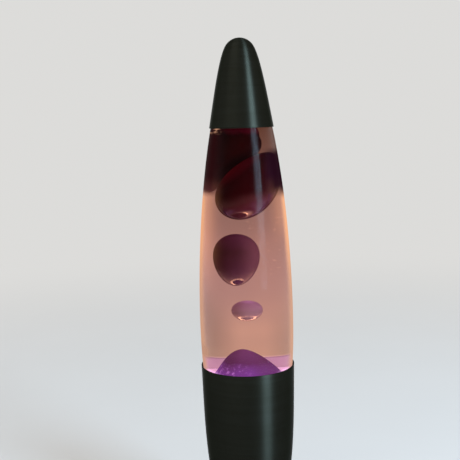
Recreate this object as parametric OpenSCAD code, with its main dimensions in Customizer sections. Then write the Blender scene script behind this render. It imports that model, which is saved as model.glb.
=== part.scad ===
// Liquid motion lamp: a bottle of clear liquid and coloured wax stands in a spun metal base
// over a small bulb, and a bullet-shaped metal cap covers the bottle's closure.
// Z is up, the table is at z = 0, the front is towards -Y, and all sizes are in millimetres.

/* [Overall] */
// Height from the table to the tip of the cap
overall_h = 368; // [360:1:380]
// Height of the base from the table to its rim
base_h = 138.4; // [136:0.1:144]
// Height of the cap from its open rim to its tip
cap_h = 60.8; // [58:0.1:66]

/* [Spun metal] */
// Thickness of the spun sheet
sheet = 0.7; // [0.5:0.1:0.9]
// Radius of the cap at its open rim
cap_r = 22.4; // [22:0.1:24]
// Radius of the cap's rounded nose
nose_r = 11.3; // [11:0.1:12]
// Half-angle of the cap's cone at its rim
cap_taper = 9.9; // [9:0.1:10.5]
// Radius of the base at its rim
cup_r = 33.3; // [33:0.1:35]
// Radius of the base at its waist
waist_r = 26; // [24:0.5:28]
// Height of the waist, where the cup meets the foot
waist_h = 39; // [38:0.5:41]
// Radius of the foot at the table
foot_r = 49; // [48:0.5:54]
// Height of the foot's skirt
skirt_h = 14; // [14:0.5:16]
// Slope of the skirt from upright
skirt_slope = 12.3; // [10:0.1:14]

/* [Bottle] */
// Radius of the bottle's belly
globe_r = 33.2; // [33:0.1:35]
// Height of the belly above the base's rim
belly_rise = 31.6; // [28:0.1:36]
// Depth that the bottle stands inside the base
globe_sink = 17.4; // [17:0.1:20]
// Wall of the blown glass
glass_t = 2.5; // [2:0.1:3]
// Outer radius of the neck
neck_r = 12.2; // [11.8:0.1:12.5]
// Free height between the closure and the tip of the cap
nose_room = 28; // [27.5:0.1:29]
// Radius of the flat ring on which the bottle stands
stand_r = 22; // [21:0.5:23]

/* [Wax and liquid] */
// Height of the liquid's surface above the cap's rim
fill_rise = 14; // [12:0.5:15]
// Depth of the wax pool's surface below the base's rim
pool_drop = 6.7; // [6:0.1:8]
// Height of the mound on the pool
mound_h = 19.8; // [16:0.1:22]
// Width of the pool's level edge around the mound
pool_edge = 2.1; // [1:0.1:4]
// Width of the film of liquid between a blob and the cavity that it lies in
wax_gap = 0.3; // [0.2:0.05:0.5]

/* [Wire coil] */
// Radius of the ring that the coil is closed into
ring_r = 20; // [19:0.5:21]
// Radius of a curl, to the middle of the wire
curl_r = 2.6; // [2.2:0.1:2.8]
// Radius of the wire
wire_r = 0.45; // [0.3:0.05:0.5]
// Curls around the ring
curls = 36; // [30:1:40]

/* [Bulb and holder] */
// Length of the bulb from its tip contact to its crown
bulb_l = 58.7; // [57:0.1:60]
// Largest radius of the bulb
bulb_r = 17.5; // [16:0.1:17.8]
// Middle radius of the rolled thread on the bulb's cap
screw_r = 8; // [7.6:0.1:8.2]
// Pitch of the rolled thread
screw_pitch = 2.8; // [2.6:0.1:3]
// Radius of the bulb holder
holder_r = 13; // [12.5:0.1:14]

/* [Underside] */
// Radius of the threaded tube through the waist
tube_r = 5; // [4.8:0.1:5.2]
// Radius of the hole for the cord
cord_r = 3.2; // [3:0.1:3.4]
// Radius of a rubber foot
pad_r = 5; // [4.5:0.1:6]
// Distance from the foot's edge to the middle of a rubber foot
pad_inset = 13; // [12:0.5:15]

/* [Fits] */
// Clearance between pieces that lift or turn apart
fit_gap = 0.3; // [0.25:0.05:0.4]
// Clearance between pieces that stay together
seat_gap = 0.1; // [0.05:0.01:0.12]

/* [Hidden] */
$fn = 96;
rim_z = base_h;
cap_z = overall_h - cap_h;
belly_z = rim_z + belly_rise;
globe_z = rim_z - globe_sink;
crown_t = 0.45;
liner_t = 0.8;
globe_top = overall_h - nose_room - crown_t - liner_t;
throat_r = cap_r - sheet - fit_gap;
heel_r = cup_r - sheet - fit_gap;
ring_lip = stand_r - 3;
fill_z = cap_z + fill_rise;
pool_z = rim_z - pool_drop;
room = cap_z - rim_z;
table_gap = 1.2;
tube_hole = tube_r + seat_gap;
floor_z = waist_h + sheet;
holder_h = 30.3;
well_z = floor_z + 8.5;
tongue_h = 2.3;
tip_z = well_z + tongue_h + seat_gap;
screw_wave = 0.35;
thread_z = tip_z + 3.6;
thread_turns = 5;
thread_top = thread_z + thread_turns * screw_pitch;
shell_t = 0.4;
well_r = screw_r + screw_wave + fit_gap + shell_t + seat_gap;
bulb_top = tip_z + bulb_l;
bushing_z = table_gap + skirt_h / 2 + 1;
bushing_r = cord_r + 1.3;
lip_r = cord_r + 2.4;
coil_z = globe_z + glass_t + curl_r + wire_r + 1.6;
bead_r = 1.1;
cover_t = 2;
cover_z = table_gap + 0.4;
pad_circle = foot_r - pad_inset;
vent_r = 14;
vent_w = 2;
vent_stop = 9;
vent_l = pad_circle - vent_r - vent_stop;
tab_w = 10;
tab_h = 7;
tab_t = 1.5;
boss_r = 4;
boss_h = 2;
pin_r = 1.5;
pin_edge = 0.5;
pin_top = 1.6;

// Points along a curve that leaves a towards b and reaches d from c
function bezier(a, b, c, d, n) =
    [for (i = [0 : n]) let (t = i / n, s = 1 - t)
        s * s * s * a + 3 * s * s * t * b + 3 * s * t * t * c + t * t * t * d];

function tail(p) = [for (i = [1 : len(p) - 1]) p[i]];

function back(p) = [for (i = [len(p) - 1 : -1 : 0]) p[i]];

function heading(p, i) =
    let (d = p[min(i + 1, len(p) - 1)] - p[max(i - 1, 0)]) d / norm(d);

// A wall's other face: an outline drawn from the top down, moved inwards by t
function inset(p, t) =
    [for (i = [0 : len(p) - 1]) let (d = heading(p, i))
        [max(0, p[i][0] + t * d[1]), p[i][1] - t * d[0]]];

function skirt_r(z) = foot_r - (z - table_gap) * tan(skirt_slope);

// Egg outline, half-width a and half-height b, fuller at its top for a positive k
function egg(a, b, k, n) =
    [for (i = [0 : n]) let (t = 180 * i / n) [a * sin(t) * (1 + k * cos(t)), b * cos(t)]];

// Outlines, each from the top down
nose_turn = 62;
nose_end = [nose_r * sin(nose_turn), overall_h - nose_r * (1 - cos(nose_turn))];
cap_outline = concat(
    [for (i = [0 : 10]) let (t = nose_turn * i / 10)
        [nose_r * sin(t), overall_h - nose_r * (1 - cos(t))]],
    tail(bezier(
        nose_end,
        nose_end + 9 * [cos(nose_turn), -sin(nose_turn)],
        [cap_r - 28 * tan(cap_taper), cap_z + 28],
        [cap_r, cap_z], 18)));

throat_slope = 11.2;
neck_z = cap_z + 21;
reach = 0.31 * (cap_z - belly_z);
globe_outline = concat(
    [[neck_r, globe_top]],
    bezier([neck_r, neck_z], [neck_r, neck_z - 11],
        [throat_r - 8 * tan(throat_slope), cap_z + 8], [throat_r, cap_z], 12),
    tail(bezier([throat_r, cap_z], [throat_r + reach * tan(throat_slope), cap_z - reach],
        [globe_r, belly_z + reach], [globe_r, belly_z], 24)),
    tail(bezier([globe_r, belly_z], [globe_r, belly_z - 10], [globe_r - 0.3, rim_z + 11],
        [heel_r, rim_z + 2], 8)),
    tail(bezier([heel_r, rim_z + 2], [heel_r - 0.45, rim_z - 4], [stand_r + 7.5, globe_z],
        [stand_r, globe_z], 14)),
    tail(bezier([ring_lip, globe_z], [ring_lip - 5, globe_z], [6, globe_z + 2.5],
        [0, globe_z + 2.5], 8)));

cup_outline = concat(
    bezier([cup_r, rim_z], [cup_r - 0.8, rim_z - 31], [waist_r + 6.8, waist_h + 32],
        [waist_r, waist_h + 2], 20),
    tail(bezier([waist_r, waist_h + 2], [waist_r - 0.4, waist_h + 0.6],
        [waist_r - 1, waist_h], [waist_r - 2.4, waist_h], 5)),
    [[tube_hole, waist_h]]);

skirt_top = table_gap + skirt_h;
skirt_top_r = skirt_r(skirt_top);
foot_outline = concat(
    [[tube_hole, waist_h]],
    bezier([waist_r - 2.4, waist_h], [waist_r - 1, waist_h], [waist_r - 0.4, waist_h - 0.6],
        [waist_r, waist_h - 2], 5),
    tail(bezier([waist_r, waist_h - 2], [waist_r + 1.8, waist_h - 11],
        [skirt_top_r - 12.5, skirt_top + 3.6], [skirt_top_r - 2.6, skirt_top + 1.4], 16)),
    tail(bezier([skirt_top_r - 2.6, skirt_top + 1.4], [skirt_top_r - 1.2, skirt_top + 1.1],
        [skirt_top_r - 0.3, skirt_top + 0.6], [skirt_top_r, skirt_top - 0.6], 5)),
    [[skirt_r(table_gap), table_gap]]);

bulb_outline = concat(
    bezier([0, bulb_top], [0.6 * bulb_r, bulb_top], [bulb_r, bulb_top - 0.38 * bulb_r],
        [bulb_r, bulb_top - 0.93 * bulb_r], 14),
    tail(bezier([bulb_r, bulb_top - 0.93 * bulb_r], [bulb_r, thread_top + 13],
        [screw_r - 0.1, thread_top + 11], [screw_r - 0.8, thread_top + 2.2], 14)),
    [[screw_r - 0.8, thread_top - 2]]);

// Outline of the wax pool's wall and of the liquid, both inside the glass
inner_wall = inset(globe_outline, glass_t + seat_gap);

function wall_r(z) = lookup(z, [for (p = inner_wall) [p[1], p[0]]]);

mound_r = wall_r(pool_z) - pool_edge;
mound_outline = [for (i = [0 : 24]) let (x = i / 24 * mound_r)
    [x, pool_z + mound_h * (1 + cos(180 * x / mound_r)) / 2]];

module spun(outline, t) {
    rotate_extrude() polygon(concat(outline, back(inset(outline, t))));
}

module cap_shell() {
    color("#3b3d37") {
        spun(cap_outline, sheet);
        rotate_extrude()
            translate([cap_r - sheet / 2, cap_z])
                circle(r = sheet / 2);
    }
}

module globe_glass() {
    color("#e8d8cc", 0.35) {
        spun(globe_outline, glass_t);
        // The closure's locking ring and the carrying bead below it
        rotate_extrude() {
            translate([neck_r, globe_top - 1.6])
                circle(r = bead_r);
            translate([neck_r, globe_top - 3])
                circle(r = bead_r);
            translate([neck_r - bead_r, globe_top - 3])
                square([2 * bead_r, 1.4]);
            translate([neck_r - 0.2, globe_top - 8.2])
                circle(r = bead_r);
        }
    }
}

flutes = 21;
flute_h = 5.8;
skirt_in = neck_r + bead_r + seat_gap;
crown_top = overall_h - nose_room;
module crown_cap() {
    color("#c9a85a")
        difference() {
            union() {
                translate([0, 0, crown_top - flute_h])
                    linear_extrude(flute_h - 1.4)
                        polygon([for (i = [0 : flutes * 6 - 1]) let (t = 360 * i / (flutes * 6))
                            (skirt_in + 0.65 + 0.3 * cos(flutes * t)) * [cos(t), sin(t)]]);
                translate([0, 0, crown_top - 1.5])
                    cylinder(h = 1.5, r1 = skirt_in + crown_t, r2 = skirt_in - 0.9);
            }
            translate([0, 0, crown_top - flute_h - 1])
                cylinder(h = flute_h + 1 - crown_t - liner_t + 0.01, r = skirt_in);
            translate([0, 0, crown_top - 2])
                cylinder(h = 2 - crown_t, r = skirt_in - 1.1);
        }
}

module crown_liner() {
    color("#b9b4a6")
        translate([0, 0, globe_top])
            difference() {
                cylinder(h = liner_t, r = skirt_in - 1.2);
                translate([0, 0, liner_t / 2])
                    cylinder(h = liner_t, r = neck_r - glass_t - 1);
            }
}

// The blobs in shares: x, y, half-width and lean of the bottle's inner radius at their height,
// and the height of the middle and the rise of the upper end of the room from rim to cap
small_blob = place(x = 0.0105, y = -0.164, z = 0.2453, wide = 0.28, rise = 0.0415, lean = 0, full = 0.02);
middle_blob = place(x = -0.172, y = -0.204, z = 0.458, wide = 0.441, rise = 0.1065, lean = 0.016, full = 0.14);
upper_blob = place(x = 0.173, y = -0.092, z = 0.758, wide = 0.612, rise = 0.126, lean = 0.525, full = -0.145);
hanging_lobe = place(x = -0.358, y = 0.554, z = 0.841, wide = 0.285, rise = 0.124, lean = 0.309, full = 0.23);
back_lobe = place(x = 0.083, y = 0.619, z = 0.8834, wide = 0.265, rise = 0.057, lean = 0.161, full = 0.02);
top_pool = place(x = -0.189, y = 0.336, z = 0.936, wide = 0.527, rise = 0.087, lean = 0.235, full = 0.25);

// A blob's middle, half-width, half-length, fullness and tilt
function place(x, y, z, wide, rise, lean, full) =
    let (h = rim_z + z * room, r = wall_r(h), axis = [lean * r, rise * room])
        [x * r, y * r, h, wide * r, norm(axis), full, atan2(axis[0], axis[1])];

module blob(b, gap) {
    translate([b[0], b[1], b[2]])
        rotate([0, b[6], 0])
            rotate_extrude()
                polygon(egg(b[3] + gap, b[4] + gap, b[5], 28));
}

module wax_small_blob() {
    color("#925f6a") blob(small_blob, 0);
}

module wax_middle_blob() {
    color("#491c20") blob(middle_blob, 0);
}

module wax_upper_blob() {
    color("#33080a") blob(upper_blob, 0);
}

module wax_top_mass() {
    color("#1f0302") {
        blob(hanging_lobe, 0);
        blob(back_lobe, 0);
        blob(top_pool, 0);
    }
}

module wax_mound() {
    color("#663251")
        difference() {
            rotate_extrude()
                polygon(concat(
                    mound_outline,
                    [[wall_r(pool_z), pool_z]],
                    [for (p = inner_wall) if (p[1] < pool_z - 0.2) p]));
            translate([0, 0, coil_z])
                rotate_extrude()
                    translate([ring_r, 0])
                        circle(r = curl_r + wire_r + wax_gap);
        }
}

module clear_liquid() {
    wall = [for (p = inner_wall) if (p[1] < fill_z - 0.2 && p[1] > pool_z + 0.3) p];
    color("#a86e60", 0.4)
        difference() {
            rotate_extrude()
                polygon(concat(
                    [[0, fill_z], [wall_r(fill_z), fill_z]],
                    wall,
                    [[wall_r(pool_z + seat_gap), pool_z + seat_gap]],
                    [for (p = back(mound_outline)) p + [0, seat_gap]]));
            blob(small_blob, wax_gap);
            blob(middle_blob, wax_gap);
            blob(upper_blob, wax_gap);
            blob(hanging_lobe, wax_gap);
            blob(back_lobe, wax_gap);
            blob(top_pool, wax_gap);
        }
}

// The coil is one closed tube: a helix whose axis is bent into a ring
coil_rings = 8 * curls;
coil_sides = 6;
function coil_point(i) =
    let (u = 360 * i / coil_rings, v = u * curls)
        [(ring_r + curl_r * cos(v)) * cos(u), (ring_r + curl_r * cos(v)) * sin(u), curl_r * sin(v)];
function coil_skin(i, j) =
    let (u = 360 * i / coil_rings, v = u * curls, w = 360 * j / coil_sides,
        along = coil_point(i + 0.01) - coil_point(i - 0.01),
        out = [cos(v) * cos(u), cos(v) * sin(u), sin(v)],
        side = cross(along, out) / norm(cross(along, out)))
        coil_point(i) + wire_r * (cos(w) * out + sin(w) * side);
// Least gap between one curl of the tube and every other, measured on its middle line
coil_gap = min([for (i = [0 : 7]) for (j = [i + 5 : coil_rings + i - 5])
    norm(coil_point(i) - coil_point(j))]) - 2 * wire_r;
echo(coil_gap = coil_gap);

module wire_coil() {
    color("#9a9a94")
        translate([0, 0, coil_z])
            polyhedron(
                points = [for (i = [0 : coil_rings - 1]) for (j = [0 : coil_sides - 1]) coil_skin(i, j)],
                faces = [for (i = [0 : coil_rings - 1]) for (j = [0 : coil_sides - 1]) for (half = [0, 1])
                    let (n = (i + 1) % coil_rings, m = (j + 1) % coil_sides)
                        half == 0
                            ? [i * coil_sides + j, n * coil_sides + m, n * coil_sides + j]
                            : [i * coil_sides + j, i * coil_sides + m, n * coil_sides + m]]);
}

module upper_cup() {
    color("#2b2c27") {
        spun(cup_outline, sheet);
        rotate_extrude()
            translate([cup_r - sheet / 2, rim_z])
                circle(r = sheet / 2);
    }
}

module foot_cone() {
    color("#2b2c27")
        difference() {
            union() {
                spun(foot_outline, sheet);
                rotate_extrude()
                    translate([foot_r - sheet / 2, table_gap])
                        circle(r = sheet / 2);
            }
            along_y(foot_r - 20) cylinder(h = 30, r = bushing_r + seat_gap);
        }
}

// A pressed ring whose sloping skirt sits against the cup's wall
cup_inside = inset(cup_outline, sheet + seat_gap);
seat_fall = 9;
function cup_inside_r(z) = lookup(-z, [for (p = cup_inside) [-p[1], p[0]]]);
module seat_ring() {
    low_r = cup_inside_r(globe_z - seat_fall - 5);
    color("#8d8f8a")
        difference() {
            rotate_extrude()
                polygon(concat(
                    [[ring_lip - 0.4, globe_z], [stand_r + 3, globe_z]],
                    [[cup_inside_r(globe_z - seat_fall), globe_z - seat_fall]],
                    [[low_r, globe_z - seat_fall - 5], [low_r - 1, globe_z - seat_fall - 5]],
                    [[cup_inside_r(globe_z - seat_fall) - 1.2, globe_z - seat_fall - 0.6]],
                    [[stand_r + 2.6, globe_z - 1], [ring_lip - 0.4, globe_z - 1]]));
            // Vents in the sloping skirt
            for (i = [0 : 7])
                rotate(22.5 + 45 * i)
                    translate([stand_r + 6, 0, globe_z - 12])
                        cylinder(h = 14, r = 1.8);
        }
}

nut_t = 5;
washer_t = 1.6;
tube_low = waist_h - sheet - washer_t - nut_t - 3;
tube_high = floor_z + 7.5;
module threaded_nipple() {
    turns = floor(tube_high - tube_low) - 1;
    color("#b8963e")
        rotate_extrude()
            polygon(concat(
                [[cord_r, tube_low], [tube_r - 0.4, tube_low]],
                [for (i = [0 : 2 * turns]) [tube_r - 0.4 * (i % 2), tube_low + 0.5 + i / 2]],
                [[tube_r - 0.4, tube_high], [cord_r, tube_high]]));
}

module lock_washer() {
    color("#8d8f8a")
        translate([0, 0, waist_h - sheet - washer_t])
            difference() {
                cylinder(h = washer_t, r = tube_r + 4);
                translate([0, 0, -1])
                    cylinder(h = washer_t + 2, r = tube_hole + seat_gap);
                translate([tube_r - 1, -0.8, -1])
                    cube([8, 1.6, washer_t + 2]);
            }
}

module nipple_nut() {
    color("#b8963e")
        translate([0, 0, waist_h - sheet - washer_t - nut_t])
            difference() {
                intersection() {
                    cylinder(h = nut_t, r = tube_r + 3.7, $fn = 6);
                    cylinder(h = nut_t, r1 = tube_r + 2.9, r2 = tube_r + 2.9 + nut_t);
                }
                translate([0, 0, -1])
                    cylinder(h = nut_t + 2, r = tube_hole);
            }
}

module socket_body() {
    color("#23211f")
        translate([0, 0, floor_z])
            difference() {
                union() {
                    rotate_extrude()
                        polygon([
                            [0, 0], [holder_r - 1, 0], [holder_r, 1], [holder_r, 12.5],
                            [holder_r - 1.4, 13.9], [holder_r - 1.4, holder_h - 1],
                            [holder_r - 2.2, holder_h], [0, holder_h]
                        ]);
                    // Grip ribs round the neck of the holder
                    for (i = [0 : 15])
                        rotate(22.5 * i)
                            translate([holder_r - 1.7, 0, 14])
                                cylinder(h = holder_h - 16, r = 0.8);
                }
                translate([0, 0, -1])
                    cylinder(h = 9, r = tube_hole);
                translate([0, 0, 5])
                    cylinder(h = holder_h, r = cord_r);
                translate([0, 0, well_z - floor_z])
                    cylinder(h = holder_h, r = screw_r - 1.2);
                translate([0, 0, thread_z - floor_z - 0.6])
                    cylinder(h = holder_h, r = well_r);
                for (s = [-1, 1])
                    translate([s * (holder_r - 5.6), 0, 5.2])
                        rotate([0, s * 90, 0]) {
                            cylinder(h = 8, r = 1.5 + seat_gap);
                            translate([0, 0, 3.6])
                                cylinder(h = 8, r = 3);
                        }
            }
}

// Rolled threads are drawn as rings of the thread's pitch
function rolled(r, n) =
    [for (i = [0 : n * 8]) [r + screw_wave * cos(45 * i), thread_z + i * screw_pitch / 8]];

module socket_screw_shell() {
    inside = rolled(screw_r + fit_gap, thread_turns);
    color("#b8963e")
        rotate_extrude()
            polygon(concat(
                inside,
                [[well_r - seat_gap, thread_top], [well_r - seat_gap, thread_z]]));
}

module socket_contact() {
    color("#b8963e")
        translate([0, 2, well_z])
            rotate([90, 0, 0])
                linear_extrude(4)
                    polygon([
                        [-5.4, 0], [5.4, 0], [5.4, 0.5], [-4.4, 0.5], [-1, tongue_h - 0.5],
                        [3, tongue_h - 0.5], [3, tongue_h], [-1.2, tongue_h], [-5.4, 0.8]
                    ]);
}

module terminal_screws() {
    color("#b8963e")
        for (s = [-1, 1])
            translate([s * (holder_r - 5.4), 0, floor_z + 5.2])
                rotate([0, s * 90, 0])
                    difference() {
                        union() {
                            cylinder(h = 3.6, r = 1.5);
                            translate([0, 0, 3.4])
                                cylinder(h = 1.6, r = 2.6);
                        }
                        translate([-3, -0.35, 4.2])
                            cube([6, 0.7, 2]);
                    }
}

cover_r = skirt_r(cover_z + cover_t) - sheet - 2 * seat_gap;
module bottom_cover() {
    color("#1b1b1b")
        difference() {
            union() {
                translate([0, 0, cover_z])
                    cylinder(h = cover_t, r = cover_r);
                // Spring tabs that grip the skirt
                for (i = [0 : 3])
                    rotate(45 + 90 * i)
                        intersection() {
                            translate([0, -tab_w / 2, cover_z])
                                cube([foot_r, tab_w, tab_h]);
                            difference() {
                                translate([0, 0, cover_z])
                                    cylinder(h = tab_h, r = cover_r - tab_t);
                                translate([0, 0, cover_z - 1])
                                    cylinder(h = tab_h + 2, r = cover_r - 2 * tab_t);
                            }
                        }
                // Seats of the rubber feet
                for (i = [0 : 3])
                    rotate(90 * i)
                        translate([pad_circle, 0, cover_z])
                            cylinder(h = cover_t + boss_h, r = boss_r);
            }
            // Vents
            for (i = [0 : 15])
                rotate(11.25 + 22.5 * i)
                    translate([vent_r, 0, cover_z - 1]) {
                        translate([0, -vent_w / 2, 0])
                            cube([vent_l, vent_w, cover_t + 2]);
                        cylinder(h = cover_t + 2, r = vent_w / 2);
                        translate([vent_l, 0, 0])
                            cylinder(h = cover_t + 2, r = vent_w / 2);
                    }
            for (i = [0 : 3])
                rotate(90 * i)
                    translate([pad_circle, 0, cover_z - 1])
                        cylinder(h = cover_t + boss_h + 2, r = pin_r + seat_gap);
        }
}

module rubber_feet() {
    neck_top = cover_z + cover_t + boss_h;
    color("#151515")
        for (i = [0 : 3])
            rotate(90 * i)
                translate([pad_circle, 0, 0])
                    rotate_extrude()
                        polygon([
                            [0, 0], [pad_r - pin_edge, 0], [pad_r, pin_edge], [pad_r, cover_z],
                            [pin_r, cover_z], [pin_r, neck_top], [pin_r + pin_edge, neck_top],
                            [pin_r - 0.3, neck_top + pin_top], [0, neck_top + pin_top]
                        ]);
}

module skirt_cone(grow) {
    translate([0, 0, table_gap])
        cylinder(h = skirt_h, r1 = skirt_r(table_gap) + grow, r2 = skirt_top_r + grow);
}

module along_y(y) {
    translate([0, y, bushing_z])
        rotate([-90, 0, 0])
            children();
}

module cord_bushing() {
    out = skirt_r(bushing_z) + 1.4;
    color("#141414")
        difference() {
            union() {
                along_y(out - 7.5) cylinder(h = 7.5, r = bushing_r);
                // Outer lip, shaped to the skirt
                difference() {
                    along_y(out - 4) cylinder(h = 4, r = lip_r);
                    skirt_cone(seat_gap);
                }
                // Inner lip that snaps behind the sheet
                intersection() {
                    along_y(out - 5.4) cylinder(h = 5, r1 = bushing_r + 0.4, r2 = bushing_r + 0.9);
                    skirt_cone(-sheet - seat_gap);
                }
            }
            along_y(out - 20) cylinder(h = 30, r = cord_r);
        }
}

module bulb_envelope() {
    color("#f4efe2", 0.5) spun(bulb_outline, 0.8);
}

module bulb_stem() {
    color("#e6e2d6", 0.6)
        rotate_extrude()
            polygon([
                [0, thread_top - 2], [screw_r - 1.7, thread_top - 2], [screw_r - 1.7, thread_top - 1.2],
                [2.4, thread_top + 3], [2.2, thread_top + 11], [1.2, thread_top + 12.2],
                [0, thread_top + 12.2]
            ]);
}

lead_z = thread_top + 9;
lead_h = 12;
lead_lean = 16;
module bulb_filament() {
    color("#8f8a80") {
        for (s = [-1, 1])
            translate([s * 2.7, 0, lead_z])
                rotate([0, s * lead_lean, 0])
                    cylinder(h = lead_h, r = 0.35);
        translate([0, 0, lead_z + lead_h * cos(lead_lean)])
            rotate([90, 0, 0])
                rotate_extrude(angle = 180)
                    translate([2.7 + lead_h * sin(lead_lean), 0])
                        circle(r = 0.3);
    }
}

module bulb_cap() {
    color("#b5b3ab")
        rotate_extrude()
            polygon(concat(
                rolled(screw_r, thread_turns),
                [[screw_r + screw_wave, thread_top + 2], [screw_r - 0.7, thread_top + 2]],
                [[screw_r - 0.7, thread_z + 0.6], [4.6, thread_z - 0.2], [4.6, thread_z - 0.8]],
                [[6.4, thread_z - 0.7]]));
}

module bulb_insulator() {
    color("#2a2624")
        rotate_extrude()
            polygon([
                [2, tip_z + 1.2], [3.6, tip_z + 1.2], [6.2, thread_z - 0.8], [4.4, thread_z - 0.8],
                [4.4, thread_z + 0.8], [2, thread_z + 0.8]
            ]);
}

module bulb_tip() {
    color("#b5b3ab")
        rotate_extrude()
            polygon([
                [0, tip_z], [2, tip_z], [3, tip_z + 0.6], [3, tip_z + 1.2], [1.9, tip_z + 1.2],
                [1.9, thread_z + 0.4], [0, thread_z + 0.4]
            ]);
}

cap_shell();
globe_glass();
crown_cap();
crown_liner();
clear_liquid();
wax_mound();
wax_small_blob();
wax_middle_blob();
wax_upper_blob();
wax_top_mass();
wire_coil();
upper_cup();
foot_cone();
seat_ring();
threaded_nipple();
lock_washer();
nipple_nut();
socket_body();
socket_screw_shell();
socket_contact();
terminal_screws();
bottom_cover();
rubber_feet();
cord_bushing();
bulb_envelope();
bulb_stem();
bulb_filament();
bulb_cap();
bulb_insulator();
bulb_tip();
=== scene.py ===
"""Looks of a liquid motion lamp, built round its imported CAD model.

The lamp's sizes are in millimetres, with the table at z = 0, and are turned into metres where they are used.
"""

import logging
import math
from dataclasses import dataclass
from enum import Enum
from functools import cached_property
from typing import Any, ClassVar, Optional, Sequence, Union

import bmesh
import bpy
from mathutils import Matrix, Vector


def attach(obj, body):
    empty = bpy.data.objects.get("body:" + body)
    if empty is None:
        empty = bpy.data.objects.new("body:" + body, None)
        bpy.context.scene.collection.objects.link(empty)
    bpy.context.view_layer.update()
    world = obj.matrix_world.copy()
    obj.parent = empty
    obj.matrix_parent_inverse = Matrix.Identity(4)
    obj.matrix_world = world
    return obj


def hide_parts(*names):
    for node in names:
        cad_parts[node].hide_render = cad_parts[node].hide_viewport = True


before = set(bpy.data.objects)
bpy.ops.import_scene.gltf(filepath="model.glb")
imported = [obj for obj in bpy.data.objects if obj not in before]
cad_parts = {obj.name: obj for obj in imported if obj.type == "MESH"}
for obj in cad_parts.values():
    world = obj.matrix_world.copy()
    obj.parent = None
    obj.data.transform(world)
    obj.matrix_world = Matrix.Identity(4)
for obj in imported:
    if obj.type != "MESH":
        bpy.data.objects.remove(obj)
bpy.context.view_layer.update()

LOG = logging.getLogger("lamp")
MM = 0.001
FULL_TURN = 2 * math.pi
ROLL_STEPS = 8
SEEN_RAYS = ("Is Camera Ray", "Is Glossy Ray", "Is Transmission Ray")

Point = tuple[float, float]
Pulls = tuple[Point, Point]
Place = tuple[float, float, float]
Colour = tuple[float, float, float]
Stops = tuple[tuple[float, Colour], ...]
Piece = bpy.types.Object
Material = bpy.types.Material

BLACK: Colour = (0.0, 0.0, 0.0)


class Body(Enum):
    """The CAD bodies that pieces ride on."""

    BASE = "base"
    GLOBE = "globe"
    CAP = "cap"
    SMALL_BLOB = "small_blob"
    MIDDLE_BLOB = "middle_blob"
    UPPER_BLOB = "upper_blob"


class Slot(Enum):
    """The record's material slots of the new pieces."""

    SPUN_METAL = "spun_metal"
    BOTTLE_GLASS = "bottle_glass"
    WAX_VIOLET = "wax_violet"
    WAX_MAUVE = "wax_mauve"
    WAX_WINE = "wax_wine"
    WAX_DARK = "wax_dark"
    COIL_WIRE = "coil_wire"


# Outlines


def bezier(start: Point, leave: Point, arrive: Point, end: Point, count: int) -> list[Point]:
    """Points along a curve that a pull at each end bends.

    Args:
        start: First point.
        leave: The pull at the start, as a move from it.
        arrive: The pull at the end, as a move from it.
        end: Last point.
        count: Number of steps.

    Returns:
        The points, both ends included.
    """
    b, c = (start[0] + leave[0], start[1] + leave[1]), (end[0] + arrive[0], end[1] + arrive[1])
    points = []
    for step in range(count + 1):
        t = step / count
        s = 1 - t
        weights = (s * s * s, 3 * s * s * t, 3 * s * t * t, t * t * t)
        points.append(tuple(sum(w * p[k] for w, p in zip(weights, (start, b, c, end))) for k in (0, 1)))
    return points


def arc(centre: Point, radius: float, start: float, end: float, count: int) -> list[Point]:
    """Points along an arc, in a number of steps, between two angles in degrees from the outward direction."""
    angles = (math.radians(start + (end - start) * step / count) for step in range(count + 1))
    return [(centre[0] + radius * math.cos(t), centre[1] + radius * math.sin(t)) for t in angles]


def inset(points: Sequence[Point], depth: float) -> list[Point]:
    """The other face of a wall whose outer face is drawn from the top down.

    Args:
        points: Outline as radius and height.
        depth: Thickness of the wall.

    Returns:
        The outline moved inwards.
    """
    moved = []
    last = len(points) - 1
    for index, point in enumerate(points):
        before, after = points[max(index - 1, 0)], points[min(index + 1, last)]
        run, rise = after[0] - before[0], after[1] - before[1]
        length = math.hypot(run, rise)
        moved.append((max(0.0, point[0] + depth * rise / length), point[1] - depth * run / length))
    return moved


def egg(half_width: float, half_height: float, fullness: float, count: int) -> list[Point]:
    """Outline of an egg about its middle, from the top pole to the bottom one.

    Args:
        half_width: Half of its width.
        half_height: Half of its height.
        fullness: How much fuller its top is than its bottom.
        count: Number of steps.

    Returns:
        The outline as radius and height.
    """
    angles = (math.pi * step / count for step in range(count + 1))
    turns = ((math.sin(t), math.cos(t)) for t in angles)
    return [(half_width * out * (1 + fullness * up), half_height * up) for out, up in turns]


# Modelling


def clear() -> None:
    """Leaves edit mode and deselects everything."""
    active = bpy.context.view_layer.objects.active
    if active is not None and active.mode != "OBJECT":
        bpy.ops.object.mode_set(mode="OBJECT")
    bpy.ops.object.select_all(action="DESELECT")


def pick(piece: Piece) -> None:
    """Makes a piece the only one selected.

    Args:
        piece: The piece.
    """
    clear()
    piece.select_set(True)
    bpy.context.view_layer.objects.active = piece


def named(name: str) -> Piece:
    """Names the newest piece.

    Args:
        name: Its name.

    Returns:
        The piece.
    """
    piece = bpy.context.view_layer.objects.active
    piece.name = name
    piece.data.name = name
    return piece


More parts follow.
